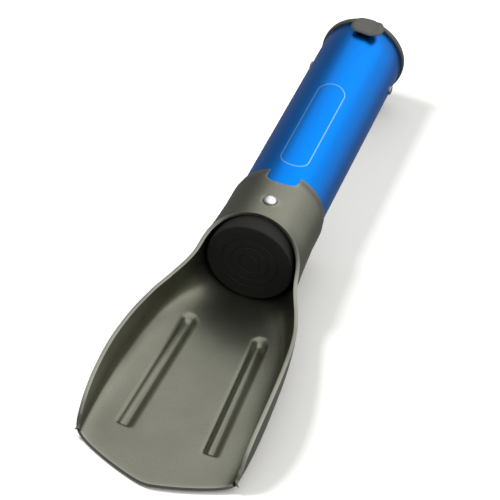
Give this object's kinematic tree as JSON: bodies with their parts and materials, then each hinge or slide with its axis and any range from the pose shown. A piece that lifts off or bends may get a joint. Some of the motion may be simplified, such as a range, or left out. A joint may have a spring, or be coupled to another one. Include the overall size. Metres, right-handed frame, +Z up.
{
  "type": "pocket camp shovel",
  "caption": "Pocket camp shovel: pressed metal scoop with a round socket, and a capped tubular handle that slides in to stow and locks with a sprung button.",
  "frame": {"origin": "centre of the footprint of the whole extended shovel, on the surface it lies on", "axes": "+Y along the handle towards its capped end, +X to the right seen from the scoop's point, +Z up out of the open scoop"},
  "size_m": [0.0628, 0.2513, 0.0414],
  "materials": {
    "scoop_metal": "grey hard anodised, satin",
    "handle_metal": "bright blue anodised, gloss",
    "plug_plastic": "black, fine matte",
    "button_steel": "polished stainless steel",
    "spring_steel": "drawn wire",
    "pin_steel": "dull grey",
    "cap_plastic": "dark grey, glossy",
    "seal_rubber": "black"
  },
  "bodies": {
    "scoop": {"blade": "scoop_metal"},
    "handle": {"handle_tube": "handle_metal", "inner_plug": "plug_plastic", "lock_spring": "spring_steel", "stop_pin_left": "pin_steel", "stop_pin_right": "pin_steel"},
    "button": {"lock_button": "button_steel"},
    "cap": {"end_cap": "cap_plastic", "cap_seal": "seal_rubber"}
  },
  "joints": [
    {"name": "handle_slide", "type": "slide", "parent": "scoop", "child": "handle", "axis": [0, 1, 0], "range_m": [-0.0894, 0]},
    {"name": "button_press", "type": "slide", "parent": "handle", "child": "button", "axis": [0, 0, 1], "range_m": [-0.0033, 0], "stiffness_N_per_m": 600, "springref_m": 0.002, "deforming": ["lock_spring"]},
    {"name": "cap_pull", "type": "slide", "parent": "handle", "child": "cap", "axis": [0, 1, 0], "range_m": [0, 0.03]}
  ]
}
